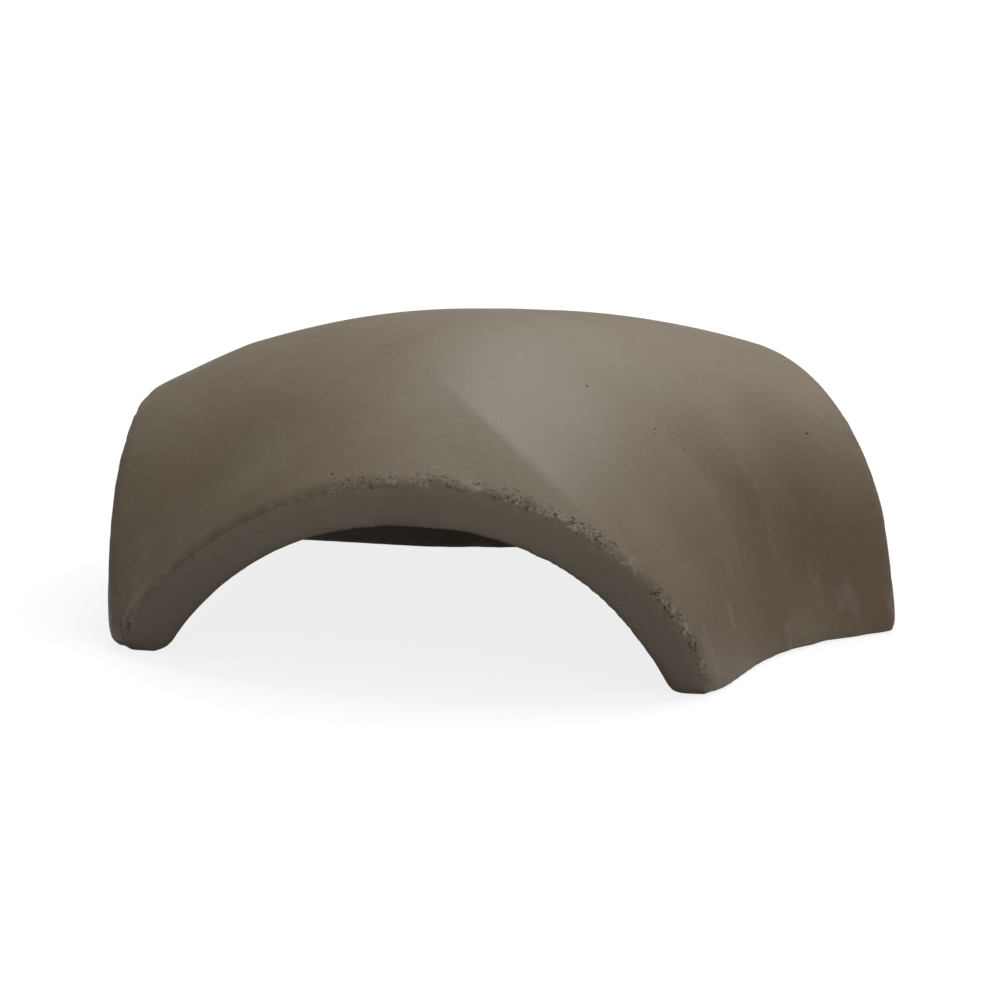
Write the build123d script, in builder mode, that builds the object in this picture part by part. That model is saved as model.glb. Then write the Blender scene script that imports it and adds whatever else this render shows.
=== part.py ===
"""Three-way ridge tile: one cast concrete shell whose three arched arms meet in a domed crown.

The ridge arm runs along +X and the two hip arms run back to either side. All three stand on one
level floor. Sizes are in millimetres, angles in degrees, +Z is up and the crown is over the origin.
"""

from math import cos, hypot, radians, sin, tan
from pathlib import Path

from build123d import *

# Height of the crown over the floor, and thickness of the concrete.
apex_height = 132.0
wall = 19.5

# Ridge arm: length to its foot, height of its crown there, radius of its arch,
# and how far its end face leans out towards the top.
ridge_length = 145.5
ridge_end_height = 108.0
ridge_radius = 106.5
ridge_end_lean = 1.0

# Hip arms: the same sizes, and two angles from straight back,
# one for the arm itself and one for the way its end face looks.
hip_length = 136.0
hip_end_height = 96.5
hip_radius = 130.0
hip_end_lean = 13.0
hip_angle = 42.5
hip_face_angle = 46.5

# Slope of the straight flanks under every arch.
flank_angle = 74.0

# The ridge crown starts this much under the hip crowns.
ridge_step = 0.8

# How far each arm is carried back past the crown, on past its end face, and down under the floor
# before it is trimmed, and how many arches it is drawn through.
ridge_start = 15.0
hip_start = 60.0
trim_margin = 25.0
arches_per_arm = 7


def arch_face(plane, radius, height):
    """Draws one arch on an upright plane: an arc, two straight flanks and a base under the floor."""
    slope = radians(flank_angle)
    spread = radius * sin(slope)
    shoulder = height - radius * (1 - cos(slope))
    base = min(shoulder, 0) - trim_margin
    foot = spread + (shoulder - base) / tan(slope)
    with BuildSketch(plane) as arch:
        with BuildLine():
            ThreePointArc((-spread, shoulder), (0, height), (spread, shoulder))
            Polyline((spread, shoulder), (foot, base), (-foot, base), (-spread, shoulder))
        make_face()
    return arch.sketch


def arm(direction, radius, crown, fall, start, end, depth):
    """Lofts one arm through arches that fall away from the crown, set in by a depth."""
    heading = Vector(cos(radians(direction)), sin(radians(direction)), 0)
    across = Vector(-sin(radians(direction)), cos(radians(direction)), 0)
    arches = []
    for station in range(arches_per_arm):
        along = start + (end - start) * station / (arches_per_arm - 1)
        height = crown - fall * along**2 - depth * hypot(1, 2 * fall * along)
        plane = Plane(origin=heading * along, x_dir=across, z_dir=heading)
        arches.append(arch_face(plane, radius - depth, height))
    with BuildPart() as barrel:
        loft(sections=arches)
    return barrel.part


def vault(depth):
    """Joins the three arms into one domed body, set in from the outside by a depth."""
    ridge_crown = apex_height - ridge_step
    ridge_fall = (ridge_crown - ridge_end_height) / ridge_length**2
    ridge_end = ridge_length + ridge_end_height * tan(radians(ridge_end_lean)) + trim_margin
    hip_fall = (apex_height - hip_end_height) / hip_length**2
    hip_end = hip_length + hip_end_height * tan(radians(hip_end_lean)) + trim_margin
    with BuildPart() as joined:
        add(arm(180 + hip_angle, hip_radius, apex_height, hip_fall, -hip_start, hip_end, depth))
        split(bisect_by=Plane.XZ, keep=Keep.TOP)
        mirror(about=Plane.XZ)
        add(arm(0, ridge_radius, ridge_crown, ridge_fall, -ridge_start, ridge_end, depth))
    return joined.part


def end_plane(direction, length, face_direction, lean):
    """Gives the plane of an arm's end face, through the middle of its foot line."""
    foot = (length * cos(radians(direction)), length * sin(radians(direction)), 0)
    level = cos(radians(lean))
    outward = (
        level * cos(radians(face_direction)),
        level * sin(radians(face_direction)),
        -sin(radians(lean)),
    )
    return Plane(origin=foot, z_dir=outward)


with BuildPart() as ridge_tile:
    add(vault(0))
    split(bisect_by=Plane.XY, keep=Keep.TOP)
    split(bisect_by=end_plane(0, ridge_length, 0, ridge_end_lean), keep=Keep.BOTTOM)
    for side in (1, -1):
        hip_direction = 180 + side * hip_angle
        face_direction = 180 + side * hip_face_angle
        split(bisect_by=end_plane(hip_direction, hip_length, face_direction, hip_end_lean), keep=Keep.BOTTOM)
    add(vault(wall), mode=Mode.SUBTRACT)

Path("parts").mkdir(exist_ok=True)
ridge_tile.part.label = "ridge_tile"
export_step(ridge_tile.part, "parts/ridge_tile.step")
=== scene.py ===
"""Dresses the three-way ridge tile: a worn, coated concrete shell on a plain pale floor.

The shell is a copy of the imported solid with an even, dense skin. Its valleys are softened, its
arrises are worn round and crumbled, and one procedural concrete covers it. Lengths are in metres.
"""

import logging
import math
from dataclasses import dataclass
from enum import Enum
from typing import Union

import bmesh
import bpy
import numpy as np
from mathutils import Matrix, Vector, noise
from mathutils.bvhtree import BVHTree
from mathutils.kdtree import KDTree

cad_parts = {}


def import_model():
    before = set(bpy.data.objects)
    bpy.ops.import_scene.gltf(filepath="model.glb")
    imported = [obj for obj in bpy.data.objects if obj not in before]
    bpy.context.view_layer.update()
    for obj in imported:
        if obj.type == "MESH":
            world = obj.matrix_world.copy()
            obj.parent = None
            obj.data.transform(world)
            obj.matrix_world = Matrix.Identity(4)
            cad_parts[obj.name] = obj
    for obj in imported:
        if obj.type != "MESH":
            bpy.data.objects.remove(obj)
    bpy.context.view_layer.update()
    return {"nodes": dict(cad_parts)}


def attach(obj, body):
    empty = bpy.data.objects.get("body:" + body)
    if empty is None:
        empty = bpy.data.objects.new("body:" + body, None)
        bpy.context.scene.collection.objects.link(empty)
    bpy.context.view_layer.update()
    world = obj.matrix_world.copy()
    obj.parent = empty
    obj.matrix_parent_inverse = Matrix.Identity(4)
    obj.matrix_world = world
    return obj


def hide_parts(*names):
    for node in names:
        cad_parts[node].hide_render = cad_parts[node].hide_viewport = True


log = logging.getLogger("ridge_tile_scene")

Colour = tuple[float, float, float, float]
Place = tuple[float, float, float]
Band = tuple[float, float]
WHITE: Colour = (1, 1, 1, 1)
NOISE_MIDDLE = 0.5
HALF_WAY = 0.5
BELOW_FLOOR = -1.0


def mesh_points(mesh: bpy.types.Mesh) -> np.ndarray:
    """Reads a mesh's points.

    Args:
        mesh: The mesh.

    Returns:
        The points as rows of three numbers.
    """
    flat = np.empty(len(mesh.vertices) * 3)
    mesh.vertices.foreach_get("co", flat)
    return flat.reshape(-1, 3)


def search_tree(points: list[Vector]) -> KDTree:
    """Makes points ready to search.

    Args:
        points: The points.

    Returns:
        The tree that finds the nearest of them.
    """
    tree = KDTree(len(points))
    for index, point in enumerate(points):
        tree.insert(point, index)
    tree.balance()
    return tree


def ramp(numbers: np.ndarray, band: Band) -> np.ndarray:
    """Rises straight from 0 at the first number of a band to 1 at the second, which may be less."""
    return np.clip((numbers - band[0]) / (band[1] - band[0]), 0.0, 1.0)


class Skin(Enum):
    """The sides of the shell, told apart by how far their faces look up."""

    OUTSIDE = 0
    END = 1
    INSIDE = 2
    FOOT = 3


class Value:
    """A number socket whose arithmetic adds Math nodes to its board."""

    def __init__(self, board: "NodeBoard", socket: bpy.types.NodeSocket) -> None:
        """Keeps the board and the socket that carries the number."""
        self.board = board
        self.socket = socket

    def math(self, operation: str, first: "Number", second: "Number") -> "Value":
        """Adds one Math node.

        Args:
            operation: The Math node's operation.
            first: Its first input.
            second: Its second input.

        Returns:
            The node's result.
        """
        node = self.board.node("ShaderNodeMath", {"operation": operation}, {0: first, 1: second})
        return Value(self.board, node.outputs[0])

    def __add__(self, other: "Number") -> "Value":
        """Adds another number."""
        return self.math("ADD", self, other)

    def __radd__(self, other: "Number") -> "Value":
        """Adds this to another number."""
        return self.math("ADD", other, self)

    def __sub__(self, other: "Number") -> "Value":
        """Takes another number away."""
        return self.math("SUBTRACT", self, other)

    def __rsub__(self, other: "Number") -> "Value":
        """Takes this away from another number."""
        return self.math("SUBTRACT", other, self)

    def __mul__(self, other: "Number") -> "Value":
        """Multiplies by another number."""
        return self.math("MULTIPLY", self, other)

    def __rmul__(self, other: "Number") -> "Value":
        """Multiplies another number by this."""
        return self.math("MULTIPLY", other, self)

    def __abs__(self) -> "Value":
        """Takes the sign off."""
        return self.math("ABSOLUTE", self, 0.0)

    def most(self, other: "Number") -> "Value":
        """Takes the larger of two numbers."""
        return self.math("MAXIMUM", self, other)

    def step(self, band: Band) -> "Value":
        """Rises smoothly from 0 to 1 over a band.

        Args:
            band: Where the rise starts and ends. The end may be less than the start, for a fall.

        Returns:
            The risen number, between 0 and 1.
        """
        node = self.board.node(
            "ShaderNodeMapRange",
            {"interpolation_type": "SMOOTHSTEP"},
            {"Value": self, "From Min": band[0], "From Max": band[1]},
        )
        return Value(self.board, node.outputs["Result"])


Number = Union[Value, float]
Feed = Union[Value, bpy.types.NodeSocket, float, tuple]


@dataclass(frozen=True)
class Cloud:
    """Soft noise: how far apart its lumps are, its finer layers, and the squeeze of each axis."""

    size: float
    detail: float = 3.0
    rough: float = 0.55
    stretch: Place = (1, 1, 1)


class NodeBoard:
    """The nodes of one material or of the surround."""

    COLOUR_FACTOR = 0
    COLOUR_FIRST = 6
    COLOUR_SECOND = 7
    COLOUR_RESULT = 2

    def __init__(self, holder: Union[bpy.types.Material, bpy.types.World]) -> None:
        """Starts with no nodes.

        Args:
            holder: The material or surround that the nodes belong to.
        """
        holder.use_nodes = True
        self.tree = holder.node_tree
        self.tree.nodes.clear()

    def node(self, kind: str, settings: dict, inputs: dict) -> bpy.types.Node:
        """Adds any node.

        Args:
            kind: The node's type.
            settings: Its own settings, which are set first.
            inputs: The value or link of each of its sockets.

        Returns:
            The new node.
        """
        made = self.tree.nodes.new(kind)
        for key, value in settings.items():
            setattr(made, key, value)
        for key, value in inputs.items():
            self.feed(made.inputs[key], value)
        return made

    def feed(self, socket: bpy.types.NodeSocket, value: Feed) -> None:
        """Links a socket, or sets its number, colour or vector.

        Args:
            socket: The socket that is fed.
            value: What feeds it.
        """
        if isinstance(value, Value):
            self.tree.links.new(value.socket, socket)
        elif isinstance(value, bpy.types.NodeSocket):
            self.tree.links.new(value, socket)
        else:
            socket.default_value = value

    def place(self, stretch: Place = (1, 1, 1)) -> bpy.types.NodeSocket:
        """Gives the piece's own coordinates.

        Args:
            stretch: How much each axis is multiplied.

        Returns:
            The socket that carries the coordinates.
        """
        own = self.node("ShaderNodeTexCoord", {}, {}).outputs["Object"]
        return self.node("ShaderNodeMapping", {}, {"Vector": own, "Scale": stretch}).outputs[0]

    def height(self) -> Value:
        """Gives how high a point is over the floor."""
        split = self.node("ShaderNodeSeparateXYZ", {}, {"Vector": self.place()})
        return Value(self, split.outputs["Z"])

    def attribute(self, name: str) -> Value:
        """Reads a number that the mesh keeps at its points."""
        return Value(self, self.node("ShaderNodeAttribute", {"attribute_name": name}, {}).outputs["Fac"])

    def cloud(self, kind: Cloud) -> Value:
        """Adds soft noise.

        Args:
            kind: The noise's size, finer layers and squeeze.

        Returns:
            The noise, around a half.
        """
        inputs = {
            "Vector": self.place(kind.stretch),
            "Scale": 1 / kind.size,
            "Detail": kind.detail,
            "Roughness": kind.rough,
        }
        return Value(self, self.node("ShaderNodeTexNoise", {}, inputs).outputs["Fac"])

    def cells(self, size: float) -> Value:
        """Gives the distance to the nearest of many scattered points, in cell widths."""
        inputs = {"Vector": self.place(), "Scale": 1 / size}
        return Value(self, self.node("ShaderNodeTexVoronoi", {}, inputs).outputs["Distance"])

    def mix(self, factor: Number, first: Feed, second: Feed) -> bpy.types.NodeSocket:
        """Mixes two colours.

        Args:
            factor: 0 for the first colour and 1 for the second.
            first: The first colour.
            second: The second colour.

        Returns:
            The mixed colour's socket.
        """
        inputs = {self.COLOUR_FACTOR: factor, self.COLOUR_FIRST: first, self.COLOUR_SECOND: second}
        return self.node("ShaderNodeMix", {"data_type": "RGBA"}, inputs).outputs[self.COLOUR_RESULT]


@dataclass(frozen=True)
class ConcreteMasks:
    """The numbers that change over the concrete and that its colour, gloss and relief share."""

    patch: Value
    grain: Value
    low: Value
    painted_highlight: Value
    coat: Value
    worn: Value
    dark: Value


@dataclass(frozen=True)
class ConcreteFinish:
    """Coated grey-brown concrete, bare and rough where it was struck off and where it is worn, with a
    painted highlight, painted sheen streaks and painted shade on its coat.
    """

    coat: Colour = (0.212, 0.168, 0.106, 1)
    # The pale coat is also laid behind each brow as a painted highlight.
    coat_pale_and_highlight: Colour = (0.262, 0.222, 0.160, 1)
    coat_brown: Colour = (0.188, 0.126, 0.078, 1)
    # Painted shade: a darker brown laid near the arrises on a hip arm's far side.
    painted_rim_shade: Colour = (0.126, 0.094, 0.060, 1)
    bare: Colour = (0.292, 0.240, 0.184, 1)
    bare_dark: Colour = (0.240, 0.194, 0.148, 1)
    # The scrape colour also makes the painted sheen streaks low on the shell.
    scrape_and_sheen: Colour = (0.410, 0.375, 0.326, 1)
    speck: Colour = (0.050, 0.041, 0.034, 1)

    # Noise over the coat and the bare concrete.
    broad_cloud: Cloud = Cloud(0.110, 2.0)
    patch_cloud: Cloud = Cloud(0.045, 4.0)
    grain_cloud: Cloud = Cloud(0.0035, 4.0, 0.65)
    sand_cloud: Cloud = Cloud(0.0013, 2.0, 0.7)
    struck_cloud: Cloud = Cloud(0.0060, 4.0, 0.7)
    sheen_streak_cloud: Cloud = Cloud(0.016, 3.0, 0.6, (1, 1, 0.22))

    # Noise along the arrises, and scattered pits.
    ragged_cloud: Cloud = Cloud(0.0045, 4.0, 0.7)
    chip_cloud: Cloud = Cloud(0.012, 4.0, 0.7)
    scrape_cloud: Cloud = Cloud(0.0032, 3.0, 0.7)
    speck_cloud: Cloud = Cloud(0.0020, 3.0, 0.7)
    speck_group_cloud: Cloud = Cloud(0.020, 3.0)
    pit_group_cloud: Cloud = Cloud(0.030, 2.0)
    pit_spacing: float = 0.009

    # Where each noise starts and ends to show.
    brown_band: Band = (0.36, 0.60)
    patch_band: Band = (0.38, 0.66)
    bare_patch_band: Band = (0.35, 0.65)
    grain_band: Band = (0.42, 0.75)
    bare_grain_band: Band = (0.50, 0.78)
    sheen_streak_band: Band = (0.54, 0.68)
    chip_band: Band = (0.42, 0.58)
    scrape_band: Band = (0.44, 0.60)
    speck_band: Band = (0.55, 0.66)
    speck_group_band: Band = (0.40, 0.56)
    pit_band: Band = (0.11, 0.04)
    pit_group_band: Band = (0.60, 0.68)

    # Heights over the floor, and ways from an arris, less than 0 off the outside.
    low_band: Band = (0.100, 0.020)
    sheen_streak_height_band: Band = (0.060, 0.015)
    arris_band: Band = (0.0110, 0.0005)
    coat_edge_band: Band = (-0.0005, 0.0005)
    speck_edge_band: Band = (-0.0025, -0.0005)
    speck_arris_band: Band = (0.05, 0.5)
    ragged_least: float = 0.001
    ragged_more: float = 0.004
    firm_fade: float = 0.12

    # How strongly each colour shows.
    brown_share: float = 0.25
    low_brown_share: float = 0.65
    patch_share: float = 0.45
    painted_highlight_share: float = 0.40
    painted_rim_shade_share: float = 0.42
    grain_share: float = 0.08
    sheen_streak_share: float = 0.22
    worn_share: float = 0.80

    coat_roughness: float = 0.56
    bare_roughness: float = 0.90
    patch_roughness: float = 0.14
    worn_roughness: float = 0.2
    painted_highlight_gloss: float = 0.06
    specular: float = 0.36

    grain_relief: float = 0.00018
    sand_relief: float = 0.00014
    pit_depth: float = 0.0008
    struck_relief: float = 0.0009
    relief_strength: float = 0.75

    def make(self) -> bpy.types.Material:
        """Builds the material.

        Returns:
            The concrete material.
        """
        material = bpy.data.materials.new("coated_concrete")
        board = NodeBoard(material)
        masks = self.masks(board)
        shader = board.node(
            "ShaderNodeBsdfPrincipled",
            {},
            {
                "Base Color": self.colour(board, masks),
                "Roughness": self.roughness(masks),
                "Normal": self.relief(board, masks),
                "Specular IOR Level": self.specular,
            },
        )
        board.node("ShaderNodeOutputMaterial", {}, {"Surface": shader.outputs["BSDF"]})
        return material

    def masks(self, board: NodeBoard) -> ConcreteMasks:
        """Works out where the concrete is coated, worn, chipped and pitted.

        Args:
            board: The material's nodes.

        Returns:
            The numbers that colour, gloss and relief share.
        """
        edge = board.attribute("edge")
        crumble = board.attribute("crumble")
        ragged = board.cloud(self.ragged_cloud) - NOISE_MIDDLE
        ragged = ragged * (crumble * self.ragged_more + self.ragged_least)
        firm = crumble * (1 - self.firm_fade) + self.firm_fade
        coat = ((edge + ragged) * firm).step(self.coat_edge_band)
        arris = abs(edge).step(self.arris_band) * crumble
        worn = arris * board.cloud(self.chip_cloud).step(self.chip_band)
        worn = worn * board.cloud(self.scrape_cloud).step(self.scrape_band)
        specks = arris.step(self.speck_arris_band) * board.cloud(self.speck_cloud).step(self.speck_band)
        specks = specks * edge.step(self.speck_edge_band)
        specks = specks * board.cloud(self.speck_group_cloud).step(self.speck_group_band)
        pits = board.cells(self.pit_spacing).step(self.pit_band)
        pits = pits * board.cloud(self.pit_group_cloud).step(self.pit_group_band)
        return ConcreteMasks(
            patch=board.cloud(self.patch_cloud),
            grain=board.cloud(self.grain_cloud),
            low=board.height().step(self.low_band),
            painted_highlight=board.attribute("painted_highlight"),
            coat=coat,
            worn=worn,
            dark=specks.most(pits * coat),
        )

    def colour(self, board: NodeBoard, masks: ConcreteMasks) -> bpy.types.NodeSocket:
        """Mixes the concrete's colour.

        Args:
            board: The material's nodes.
            masks: Where the concrete is coated, worn, chipped and pitted.

        Returns:
            The colour's socket.
        """
        brown = masks.low * self.low_brown_share + self.brown_share
        brown = brown * board.cloud(self.broad_cloud).step(self.brown_band)
        # Painted sheen: pale vertical streaks low on the shell.
        sheen_streaks = board.height().step(self.sheen_streak_height_band) * board.cloud(self.sheen_streak_cloud).step(self.sheen_streak_band)
        coated = board.mix(masks.patch.step(self.patch_band) * self.patch_share, self.coat, self.coat_pale_and_highlight)
        coated = board.mix(brown, coated, self.coat_brown)
        # Painted highlight: the pale coat laid behind each brow.
        coated = board.mix(masks.painted_highlight * self.painted_highlight_share, coated, self.coat_pale_and_highlight)
        # Painted shade: darker brown near the arrises on a hip arm's far side.
        coated = board.mix(board.attribute("painted_rim_shade") * self.painted_rim_shade_share, coated, self.painted_rim_shade)
        coated = board.mix(masks.grain.step(self.grain_band) * self.grain_share, coated, self.scrape_and_sheen)
        # The painted sheen streaks, laid in the scrape colour.
        coated = board.mix(sheen_streaks * self.sheen_streak_share, coated, self.scrape_and_sheen)
        raw = board.mix(masks.patch.step(self.bare_patch_band).most(masks.low), self.bare, self.bare_dark)
        raw = board.mix(masks.grain.step(self.bare_grain_band) * self.grain_share, raw, self.scrape_and_sheen)
        colour = board.mix(1 - masks.coat, coated, raw)
        colour = board.mix(masks.worn * self.worn_share * masks.coat, colour, self.scrape_and_sheen)
        return board.mix(masks.dark, colour, self.speck)

    def roughness(self, masks: ConcreteMasks) -> Value:
        """Works out the concrete's roughness.

        Args:
            masks: Where the concrete is coated, worn, chipped and pitted.

        Returns:
            The roughness.
        """
        plain = masks.coat * (self.coat_roughness - self.bare_roughness) + self.bare_roughness
        uneven = (masks.patch - NOISE_MIDDLE) * self.patch_roughness
        # The painted highlight is also a little glossier.
        return plain + uneven + masks.worn * self.worn_roughness - masks.painted_highlight * self.painted_highlight_gloss

    def relief(self, board: NodeBoard, masks: ConcreteMasks) -> bpy.types.NodeSocket:
        """Works out the concrete's fine relief.

        Args:
            board: The material's nodes.
            masks: Where the concrete is coated, worn, chipped and pitted.

        Returns:
            The bumped normal's socket.
        """
        fine = masks.grain * self.grain_relief + board.cloud(self.sand_cloud) * self.sand_relief
        struck = (1 - masks.coat) * board.cloud(self.struck_cloud) * self.struck_relief
        height = fine - masks.dark * self.pit_depth + struck
        inputs = {"Height": height, "Distance": 1.0, "Strength": self.relief_strength}
        return board.node("ShaderNodeBump", {}, inputs).outputs["Normal"]


@dataclass(frozen=True)
class FloorFinish:
    """A plain white floor that the camera sees as white, with the object's shadow on it."""

    paint: Colour = (0.25, 0.25, 0.25, 1)
    glow: float = 0.83

    def make(self) -> bpy.types.Material:
        """Builds the material.

        Returns:
            The floor material.
        """
        material = bpy.data.materials.new("studio_floor")
        board = NodeBoard(material)
        sight = board.node("ShaderNodeLightPath", {}, {}).outputs
        seen = Value(board, sight["Is Camera Ray"]).most(Value(board, sight["Is Glossy Ray"]))
        matt = board.node("ShaderNodeBsdfDiffuse", {}, {"Color": self.paint})
        glow = board.node("ShaderNodeEmission", {}, {"Color": WHITE, "Strength": self.glow})
        both = board.node("ShaderNodeAddShader", {}, {0: matt.outputs[0], 1: glow.outputs[0]})
        mixed = board.node("ShaderNodeMixShader", {}, {0: seen, 1: matt.outputs[0], 2: both.outputs[0]})
        board.node("ShaderNodeOutputMaterial", {}, {"Surface": mixed.outputs[0]})
        return material


@dataclass
class TileShell:
    """The cast shell: its sizes and the steps that shape, wear and dress it."""

    node_name: str = "ridge_tile"

    # The vault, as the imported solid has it.
    apex_height: float = 0.132
    wall: float = 0.0195
    ridge_length: float = 0.1455
    ridge_end_height: float = 0.108
    ridge_radius: float = 0.1065
    ridge_step: float = 0.0008
    ridge_start: float = 0.015
    hip_length: float = 0.136
    hip_end_height: float = 0.0965
    hip_radius: float = 0.130
    hip_angle: float = math.radians(42.5)
    flank_angle: float = math.radians(74)

    # How round the valleys are. The valley between the hip arms widens with its way from the crown.
    valley_softness: float = 0.110
    valley_widest: float = 1.2
    valley_narrowest: float = 1e-6
    hip_valley_softness: float = 0.012
    hip_valley_spread: Band = (0.2, 1.4)

    # The low brow that runs slantwise over each hip arm: where its line starts on the crown line, its
    # slope and bend, its height, its reach behind and in front, and where it rises and fades.
    brow_start: float = 0.094
    brow_slant: float = 1.059
    brow_bend: float = 6.35
    brow_height: float = 0.0014
    brow_back: float = 0.022
    brow_front: float = 0.030
    brow_rise: Band = (-0.015, 0.025)
    brow_fade: Band = (0.085, 0.055)

    # How far the faces of the outside, the ends and the inside look up at the least.
    outside_up: float = 0.1
    end_up: float = -0.235
    inside_up: float = -0.9995

    # The even skin, and how it is laid on the eased vault away from arrises and floor.
    merge_reach: float = 1e-5
    voxel: float = 0.00195
    arris_angle: float = math.radians(35)
    arris_sample: float = 0.0008
    snap_reach: float = 0.0018
    slope_reach: float = 5e-4
    lay_rounds: int = 4
    lay_step: float = 0.003
    lay_band: Band = (0.0020, 0.0060)
    floor_band: Band = (0.0, 0.004)
    wave_depth: float = 0.0005
    wave_length: float = 0.070
    seed_shift: Place = (3.1, 7.7, 1.9)

    # Wear of the arrises, of the softer ones on a hip arm's far side, and of the hip arms' corners.
    worn_reach: float = 0.0050
    even_rounds: int = 12
    wear_rounds: int = 8
    last_rounds: int = 2
    soft_reach: float = 0.008
    soft_rounds: int = 12
    soft_side: float = -0.03
    corner_reaches: tuple[float, ...] = (0.020, 0.016, 0.012, 0.008)
    corner_rounds: int = 14
    corner_limit: float = 0.05

    # Crumbs: their depth, size and fractal settings, and where the shell is crumbly.
    crumb_depth: float = 0.0011
    crumb_size: float = 0.009
    crumb_smoothness: float = 0.9
    crumb_scaling: float = 2.1
    crumb_layers: int = 3
    crumbly_end: Band = (0.110, 0.125)
    crumbly_side: Band = (-0.055, -0.035)
    crumbly_corner: Band = (0.028, 0.008)
    crumbly_wall: Band = (2 / 3, 1 / 3)
    crumbly_height: Band = (0.0, 0.008)
    crumbly_elsewhere: float = 0.25
    crumbly_least: float = 0.1

    # Marks for the finish: the painted highlight on the paler ground behind a brow, and the painted shade
    # near the arrises on a hip arm's far side.
    painted_highlight_reach: float = 0.045
    painted_highlight_onset: Band = (-0.004, 0.004)
    painted_rim_shade_reach: Band = (0.045, 0.0)
    painted_rim_shade_side: Band = (-0.030, -0.070)

    def build(self, cad: bpy.types.Object) -> bpy.types.Object:
        """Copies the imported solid, gives it an even skin and wears its arrises.

        Args:
            cad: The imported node.

        Returns:
            The finished piece.
        """
        piece = bpy.data.objects.new("ridge_tile_shell", cad.data.copy())
        bpy.context.scene.collection.objects.link(piece)
        solid = bmesh.new()
        solid.from_mesh(piece.data)
        bmesh.ops.remove_doubles(solid, verts=solid.verts, dist=self.merge_reach)
        solid.normal_update()
        solid.faces.ensure_lookup_table()
        sharp = self.sharp_edges(solid)
        arrises = self.arris_points(sharp)
        corners = self.corner_points(sharp)
        sides = BVHTree.FromBMesh(solid)
        skins = [self.skin_of(face.normal.z) for face in solid.faces]
        solid.to_mesh(piece.data)
        solid.free()
        self.even_skin(piece)
        kinds = [skins[sides.find_nearest(vertex.co)[2]] for vertex in piece.data.vertices]
        gaps = self.snap(piece, arrises)
        corner_gaps = np.array([corners.find(vertex.co)[2] for vertex in piece.data.vertices])
        self.ease(piece, kinds, gaps)
        crumble = self.crumble_share(piece, corner_gaps)
        self.mark(piece, kinds, gaps, crumble)
        self.wear(piece, gaps, corner_gaps, crumble)
        return piece

    def skin_of(self, up: float) -> Skin:
        """Tells which side of the shell a face is on.

        Args:
            up: How far the face looks up, from -1 to 1.

        Returns:
            The side.
        """
        if up > self.outside_up:
            return Skin.OUTSIDE
        if up > self.end_up:
            return Skin.END
        if up > self.inside_up:
            return Skin.INSIDE
        return Skin.FOOT

    def sharp_edges(self, solid: bmesh.types.BMesh) -> list[bmesh.types.BMEdge]:
        """Finds the sharp outward edges of the merged copy of the solid."""
        pairs = [edge for edge in solid.edges if len(edge.link_faces) == 2]
        return [edge for edge in pairs if edge.calc_face_angle_signed(0.0) > self.arris_angle]

    def arris_points(self, sharp: list[bmesh.types.BMEdge]) -> KDTree:
        """Samples the arrises.

        Args:
            sharp: The sharp outward edges.

        Returns:
            The samples, ready to search.
        """
        points: list[Vector] = []
        for edge in sharp:
            start, end = edge.verts[0].co, edge.verts[1].co
            count = max(1, round(edge.calc_length() / self.arris_sample))
            points.extend(start.lerp(end, i / count) for i in range(count + 1))
        return search_tree(points)

    def corner_points(self, sharp: list[bmesh.types.BMEdge]) -> KDTree:
        """Finds the hip arms' corners, where three arrises meet.

        Args:
            sharp: The sharp outward edges.

        Returns:
            The corners, ready to search.
        """
        meeting: dict[bmesh.types.BMVert, int] = {}
        for edge in sharp:
            for vertex in edge.verts:
                meeting[vertex] = meeting.get(vertex, 0) + 1
        tips = [vertex.co.copy() for vertex, count in meeting.items() if count > 2]
        return search_tree([tip for tip in tips if tip.x < self.corner_limit])

    def even_skin(self, piece: bpy.types.Object) -> None:
        """Replaces the piece's triangles by an even skin of small quads.

        Args:
            piece: The copy of the solid.
        """
        remesh = piece.modifiers.new("even_skin", "REMESH")
        remesh.mode = "VOXEL"
        remesh.voxel_size = self.voxel
        graph = bpy.context.evaluated_depsgraph_get()
        piece.data = bpy.data.meshes.new_from_object(piece.evaluated_get(graph))
        piece.modifiers.clear()
        piece.data.name = "ridge_tile_shell"
        piece.data.polygons.foreach_set("use_smooth", [True] * len(piece.data.polygons))

    def snap(self, piece: bpy.types.Object, arrises: KDTree) -> np.ndarray:
        """Puts the points that lie close to an arris on it.

        Args:
            piece: The piece with its even skin.
            arrises: Samples of the arrises.

        Returns:
            Each point's distance from the nearest arris, before it was put on it.
        """
        nearest = [arrises.find(vertex.co) for vertex in piece.data.vertices]
        for vertex, found in zip(piece.data.vertices, nearest):
            if found[2] < self.snap_reach:
                vertex.co = found[0]
        return np.array([found[2] for found in nearest])

    def arch_drop(self, away: np.ndarray, radius: float) -> np.ndarray:
        """Gives how far an arch has dropped at some way from its crown line.

        Args:
            away: The way from the crown line.
            radius: The arch's radius.

        Returns:
            The drop: an arc, then a straight flank.
        """
        bend = radius * math.sin(self.flank_angle)
        on_arc = np.minimum(away, bend)
        straight = np.maximum(away - bend, 0.0) * math.tan(self.flank_angle)
        return radius - np.sqrt(radius**2 - on_arc**2) + straight

    def hip_place(self, x: np.ndarray, y: np.ndarray, eased: bool = True) -> tuple[np.ndarray, np.ndarray]:
        """Gives where points are on the nearer hip arm.

        Args:
            x: Points' places along the ridge.
            y: Points' places across it.
            eased: Whether the valley between the hip arms is round.

        Returns:
            The way along the hip arm, and the way from its crown line towards the ridge arm.
        """
        round_off = self.hip_valley_softness * np.clip(-x / self.hip_length, *self.hip_valley_spread)
        side = np.hypot(y, round_off) if eased else np.abs(y)
        along = side * math.sin(self.hip_angle) - x * math.cos(self.hip_angle)
        return along, side * math.cos(self.hip_angle) + x * math.sin(self.hip_angle)

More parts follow.
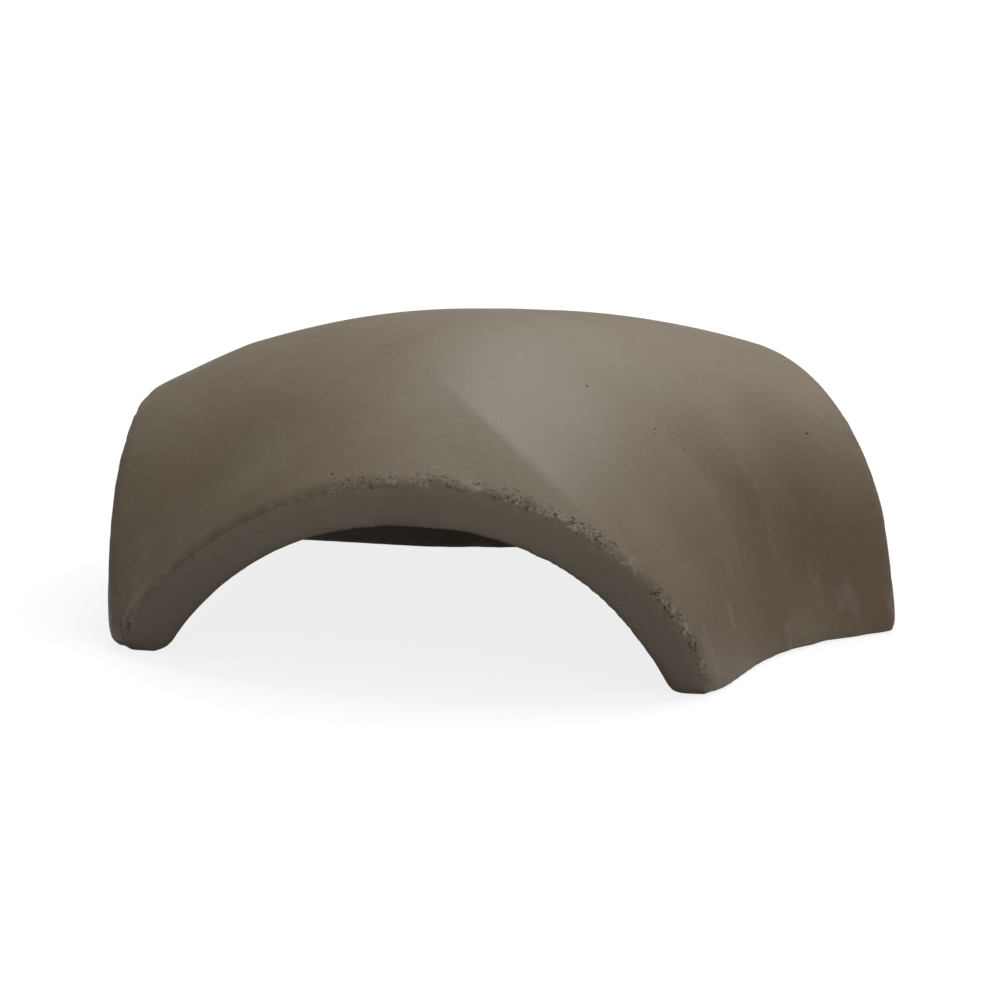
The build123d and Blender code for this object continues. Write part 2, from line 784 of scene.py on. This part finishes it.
    def arm_heights(
        self, x: np.ndarray, y: np.ndarray, depth: float, eased: bool = True
    ) -> tuple[np.ndarray, np.ndarray]:
        """Gives the heights of the ridge arm and of the nearer hip arm over the floor.

        Args:
            x: Points' places along the ridge.
            y: Points' places across it.
            depth: How far in from the outside.
            eased: Whether the valley between the hip arms is round.

        Returns:
            The ridge arm's heights, below the floor behind its start, and the hip arm's heights.
        """
        ridge_crown = self.apex_height - self.ridge_step
        ridge_fall = (ridge_crown - self.ridge_end_height) / self.ridge_length**2
        ridge = ridge_crown - ridge_fall * x**2 - depth * np.hypot(1.0, 2 * ridge_fall * x)
        ridge = ridge - self.arch_drop(np.abs(y), self.ridge_radius - depth)
        ridge = np.where(x > -self.ridge_start, ridge, BELOW_FLOOR)
        hip_fall = (self.apex_height - self.hip_end_height) / self.hip_length**2
        along, away = self.hip_place(x, y, eased)
        hip = self.apex_height - hip_fall * along**2 - depth * np.hypot(1.0, 2 * hip_fall * along)
        return ridge, hip - self.arch_drop(np.abs(away), self.hip_radius - depth)

    def past_brow(self, x: np.ndarray, y: np.ndarray) -> tuple[np.ndarray, np.ndarray]:
        """Gives how far points are behind the brow that runs slantwise over a hip arm.

        Args:
            x: Points' places along the ridge.
            y: Points' places across it.

        Returns:
            The way behind the brow, less than 0 in front of it, and the brow's strength there.
        """
        along, away = self.hip_place(x, y)
        line = self.brow_start + self.brow_slant * away - self.brow_bend * away**2
        return line - along, ramp(away, self.brow_rise) * ramp(away, self.brow_fade)

    def top_height(self, x: np.ndarray, y: np.ndarray, depth: float) -> np.ndarray:
        """Gives the eased vault's height, with round valleys and, on the outside, the brows.

        Args:
            x: Points' places along the ridge.
            y: Points' places across it.
            depth: How far in from the outside.

        Returns:
            The heights.
        """
        ridge, hip = self.arm_heights(x, y, depth)
        top = np.maximum(ridge, hip)
        fallen = np.clip(1 - top / self.apex_height, 0.0, self.valley_widest)
        soft = self.valley_softness * fallen + self.valley_narrowest
        near = np.maximum(soft - np.abs(ridge - hip), 0.0) / soft
        top = top + near**2 * soft / 4
        if depth > 0:
            return top
        behind, strength = self.past_brow(x, y)
        back = np.exp(-np.maximum(behind, 0.0) / self.brow_back)
        front = np.clip(1 + np.minimum(behind, 0.0) / self.brow_front, 0.0, 1.0)
        return top + self.brow_height * strength * back * front

    def vault(self, points: np.ndarray, depth: float) -> tuple[np.ndarray, np.ndarray]:
        """Gives the eased vault's height at points, and the way it faces there.

        Args:
            points: The points.
            depth: How far in from the outside.

        Returns:
            The heights and the outward directions.
        """
        reach = self.slope_reach
        width = 2 * reach
        x, y = points[:, 0], points[:, 1]
        top = self.top_height(x, y, depth)
        slope_x = (self.top_height(x + reach, y, depth) - self.top_height(x - reach, y, depth)) / width
        slope_y = (self.top_height(x, y + reach, depth) - self.top_height(x, y - reach, depth)) / width
        facing = np.stack([-slope_x, -slope_y, np.ones(len(points))], axis=1)
        return top, facing / np.linalg.norm(facing, axis=1, keepdims=True)

    def ease(self, piece: bpy.types.Object, kinds: list[Skin], gaps: np.ndarray) -> None:
        """Lays the even skin on the eased vault and gives it a cast surface's slow waves.

        Args:
            piece: The piece with its even skin.
            kinds: The side of the shell that each point is on.
            gaps: Each point's distance from the nearest arris.
        """
        mesh = piece.data
        points = mesh_points(mesh)
        off_floor = ramp(points[:, 2], self.floor_band)
        top, facing = self.vault(points, 0.0)
        fill = top - np.maximum(*self.arm_heights(points[:, 0], points[:, 1], 0.0, False))
        shift = Vector(self.seed_shift)
        waves = np.array([noise.noise(Vector(point) / self.wave_length + shift) for point in points])
        move = facing * (fill * facing[:, 2] + waves * self.wave_depth)[:, None]
        move[:, 2] *= off_floor
        points = points + move
        hold = ramp(gaps, self.lay_band)
        for kind, depth in ((Skin.OUTSIDE, 0.0), (Skin.INSIDE, self.wall)):
            chosen = np.array([found is kind for found in kinds])
            part = points[chosen]
            for _ in range(self.lay_rounds):
                top, facing = self.vault(part, depth)
                miss = (top - part[:, 2]) * facing[:, 2] * hold[chosen]
                part = part + facing * np.clip(miss, -self.lay_step, self.lay_step)[:, None]
            points[chosen] = part + facing * (waves * self.wave_depth * hold)[chosen][:, None]
        mesh.vertices.foreach_set("co", points.ravel())
        mesh.update()

    def crumble_share(self, piece: bpy.types.Object, corner_gaps: np.ndarray) -> np.ndarray:
        """Gives how crumbly each point is: most at the hip ends, less at their far sides and elsewhere.

        Args:
            piece: The eased piece.
            corner_gaps: Each point's distance from the nearest corner.

        Returns:
            The shares, from 0 to 1.
        """
        points = mesh_points(piece.data)
        along, away = self.hip_place(points[:, 0], points[:, 1])
        at_end = ramp(along, self.crumbly_end) * ramp(away, self.crumbly_side)
        at_corner = ramp(corner_gaps, self.crumbly_corner)
        top, facing = self.vault(points, 0.0)
        under = (top - points[:, 2]) * facing[:, 2] / self.wall
        near_outside = np.maximum(ramp(under, self.crumbly_wall), self.crumbly_least)
        off_floor = np.maximum(ramp(points[:, 2], self.crumbly_height), self.crumbly_least)
        share = np.maximum(at_end, self.crumbly_elsewhere) * off_floor
        return np.maximum(share, at_corner) * near_outside

    def wear(
        self, piece: bpy.types.Object, gaps: np.ndarray, corner_gaps: np.ndarray, crumble: np.ndarray
    ) -> None:
        """Rounds the corners and arrises and breaks crumbs out of them.

        Args:
            piece: The eased piece.
            gaps: Each point's distance from the nearest arris.
            corner_gaps: Each point's distance from the nearest corner.
            crumble: How crumbly each point is.
        """
        skin = bmesh.new()
        skin.from_mesh(piece.data)
        skin.verts.ensure_lookup_table()
        self.even_out(skin, gaps)
        for reach in self.corner_reaches:
            tips = [v for v in skin.verts if corner_gaps[v.index] < reach]
            self.smooth(skin, tips, self.corner_rounds, upright=False)
        points = mesh_points(piece.data)
        far_side = self.hip_place(points[:, 0], points[:, 1])[1] < self.soft_side
        soft_verts = [v for v in skin.verts if gaps[v.index] < self.soft_reach and far_side[v.index]]
        self.smooth(skin, soft_verts, self.soft_rounds)
        edge_verts = [v for v in skin.verts if gaps[v.index] < self.worn_reach]
        for rounds in (self.wear_rounds, self.last_rounds):
            self.smooth(skin, edge_verts, rounds)
            self.even_out(skin, gaps)
        self.smooth(skin, edge_verts, self.last_rounds)
        self.crumb(skin, edge_verts, gaps, crumble)
        skin.to_mesh(piece.data)
        skin.free()

    def crumb(
        self,
        skin: bmesh.types.BMesh,
        verts: list[bmesh.types.BMVert],
        gaps: np.ndarray,
        crumble: np.ndarray,
    ) -> None:
        """Breaks crumbs out of the arrises.

        Args:
            skin: The worn skin.
            verts: The points by the arrises.
            gaps: Each point's distance from the nearest arris.
            crumble: How crumbly each point is.
        """
        skin.normal_update()
        shift = Vector(self.seed_shift)
        settings = (self.crumb_smoothness, self.crumb_scaling, self.crumb_layers)
        for v in verts:
            close = 1 - gaps[v.index] / self.worn_reach
            loose = noise.fractal(v.co / self.crumb_size + shift, *settings)
            v.co -= v.normal * self.crumb_depth * close * crumble[v.index] * max(0.0, loose)

    def smooth(
        self, skin: bmesh.types.BMesh, verts: list[bmesh.types.BMVert], rounds: int, upright: bool = True
    ) -> None:
        """Moves points towards the middle of their neighbours.

        Args:
            skin: The skin.
            verts: The points that move.
            rounds: How many times they move.
            upright: Whether they also move up and down.
        """
        for _ in range(rounds):
            bmesh.ops.smooth_vert(
                skin, verts=verts, factor=HALF_WAY, use_axis_x=True, use_axis_y=True, use_axis_z=upright
            )

    def even_out(self, skin: bmesh.types.BMesh, gaps: np.ndarray) -> None:
        """Spaces the points on the arrises evenly, by their neighbours on the arrises alone.

        Args:
            skin: The eased skin.
            gaps: Each point's distance from the nearest arris, before it was put on it.
        """
        mates: dict[bmesh.types.BMVert, list[bmesh.types.BMVert]] = {}
        for v in skin.verts:
            if gaps[v.index] < self.snap_reach:
                beside = [edge.other_vert(v) for edge in v.link_edges]
                mates[v] = [mate for mate in beside if gaps[mate.index] < self.snap_reach]
        mates = {v: beside for v, beside in mates.items() if beside}
        for _ in range(self.even_rounds):
            middles = [
                sum((mate.co for mate in beside), Vector()) / len(beside) for beside in mates.values()
            ]
            for v, middle in zip(mates, middles):
                v.co = v.co.lerp(middle, HALF_WAY)

    def mark(
        self, piece: bpy.types.Object, kinds: list[Skin], gaps: np.ndarray, crumble: np.ndarray
    ) -> None:
        """Writes at each point its way from an arris, how crumbly it is, and its painted highlight and
        painted shade.

        Args:
            piece: The eased piece.
            kinds: The side of the shell that each point is on.
            gaps: Each point's distance from the nearest arris.
            crumble: How crumbly each point is.
        """
        points = mesh_points(piece.data)
        outside = np.array([kind is Skin.OUTSIDE for kind in kinds])
        # The painted highlight: a pale ground just behind each brow, fading away from it.
        behind, strength = self.past_brow(points[:, 0], points[:, 1])
        fading = np.exp(-np.maximum(behind, 0.0) / self.painted_highlight_reach)
        painted_highlight = ramp(behind, self.painted_highlight_onset) * fading * strength
        # The painted shade: a darker ground near the arrises on a hip arm's far side.
        away = self.hip_place(points[:, 0], points[:, 1])[1]
        painted_rim_shade = ramp(gaps, self.painted_rim_shade_reach) * ramp(away, self.painted_rim_shade_side) * outside
        edge = np.where(outside, gaps, -gaps)
        marks = {"edge": edge, "crumble": crumble, "painted_highlight": painted_highlight, "painted_rim_shade": painted_rim_shade}
        for name, numbers in marks.items():
            piece.data.attributes.new(name, "FLOAT", "POINT").data.foreach_set("value", numbers)

    def dress(self, piece: bpy.types.Object, finish: ConcreteFinish) -> None:
        """Puts the concrete on the piece and ties it to the frame.

        Args:
            piece: The finished piece.
            finish: The concrete.
        """
        piece.data.materials.clear()
        piece.data.materials.append(finish.make())
        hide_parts(self.node_name)
        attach(piece, "root")


@dataclass(frozen=True)
class Lamp:
    """One square lamp: its name, where it hangs, its side and its power in watts."""

    name: str
    place: Place
    size: float
    power: float


@dataclass
class Studio:
    """The floor, the lamps, the white surround and the camera at the photograph's angle."""

    floor_half: float = 14.0
    lamps: tuple[Lamp, ...] = (
        Lamp("overhead", (1.10, 0.69, 2.1), 2.0, 46.0),
        Lamp("front", (-0.85, -2.58, 1.2), 1.8, 12.0),
    )
    surround: float = 0.25
    surround_seen: float = 1.0
    azimuth: float = 35.30
    elevation: float = 11.655
    distance: float = 3.213
    aim: Place = (0.0, 0.0, 0.0582)
    lens: float = 263.4
    sensor: float = 36.0
    roll: float = 2.733
    aim_in_picture: tuple[float, float] = (492.1, 479.6)
    picture: float = 1000.0

    def build(self, finish: FloorFinish) -> None:
        """Sets the floor, the lamps, the surround and the camera.

        Args:
            finish: The floor's paint.
        """
        self.lay_floor(finish)
        for lamp in self.lamps:
            self.hang(lamp)
        self.paint_surround()
        self.set_camera()
        bpy.context.scene.view_settings.view_transform = "Standard"

    def lay_floor(self, finish: FloorFinish) -> None:
        """Lays the floor at the foot of the tile.

        Args:
            finish: The floor's paint.
        """
        sheet = bmesh.new()
        bmesh.ops.create_grid(sheet, x_segments=1, y_segments=1, size=self.floor_half)
        mesh = bpy.data.meshes.new("studio_floor")
        sheet.to_mesh(mesh)
        sheet.free()
        floor = bpy.data.objects.new("studio_floor", mesh)
        bpy.context.scene.collection.objects.link(floor)
        mesh.materials.append(finish.make())

    def hang(self, lamp: Lamp) -> None:
        """Hangs a lamp that faces the tile.

        Args:
            lamp: The lamp.
        """
        light = bpy.data.lights.new(lamp.name, "AREA")
        light.size = lamp.size
        light.energy = lamp.power
        hung = bpy.data.objects.new(lamp.name, light)
        hung.location = lamp.place
        hung.rotation_euler = (Vector(self.aim) - Vector(lamp.place)).to_track_quat("-Z", "Y").to_euler()
        bpy.context.scene.collection.objects.link(hung)

    def paint_surround(self) -> None:
        """Makes the surround white to the camera and a soft fill to the tile."""
        world = bpy.data.worlds.new("studio_surround")
        bpy.context.scene.world = world
        board = NodeBoard(world)
        seen = board.node("ShaderNodeLightPath", {}, {}).outputs["Is Camera Ray"]
        fill = board.node("ShaderNodeBackground", {}, {"Color": WHITE, "Strength": self.surround})
        white = board.node("ShaderNodeBackground", {}, {"Color": WHITE, "Strength": self.surround_seen})
        mixed = board.node("ShaderNodeMixShader", {}, {0: seen, 1: fill.outputs[0], 2: white.outputs[0]})
        board.node("ShaderNodeOutputWorld", {}, {"Surface": mixed.outputs[0]})

    def set_camera(self) -> None:
        """Sets the camera at the photograph's angle, roll and framing."""
        data = bpy.data.cameras.new("photo_camera")
        data.lens = self.lens
        data.sensor_width = self.sensor
        data.shift_x = (self.picture / 2 - self.aim_in_picture[0]) / self.picture
        data.shift_y = (self.aim_in_picture[1] - self.picture / 2) / self.picture
        turn, tilt = math.radians(self.azimuth), math.radians(self.elevation)
        back = Vector((-math.sin(turn) * math.cos(tilt), -math.cos(turn) * math.cos(tilt), math.sin(tilt)))
        camera = bpy.data.objects.new("photo_camera", data)
        look = (-back).to_track_quat("-Z", "Y").to_matrix().to_4x4()
        spin = Matrix.Rotation(math.radians(self.roll), 4, "Z")
        camera.matrix_world = Matrix.Translation(Vector(self.aim) + back * self.distance) @ look @ spin
        bpy.context.scene.collection.objects.link(camera)
        bpy.context.scene.camera = camera


def main() -> None:
    """Builds the tile and its studio."""
    logging.basicConfig(level=logging.INFO, format="%(message)s")
    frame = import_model()
    shell = TileShell()
    piece = shell.build(frame["nodes"][shell.node_name])
    shell.dress(piece, ConcreteFinish())
    log.info("%s: %d faces", piece.name, len(piece.data.polygons))
    Studio().build(FloorFinish())


if __name__ == "__main__":
    main()
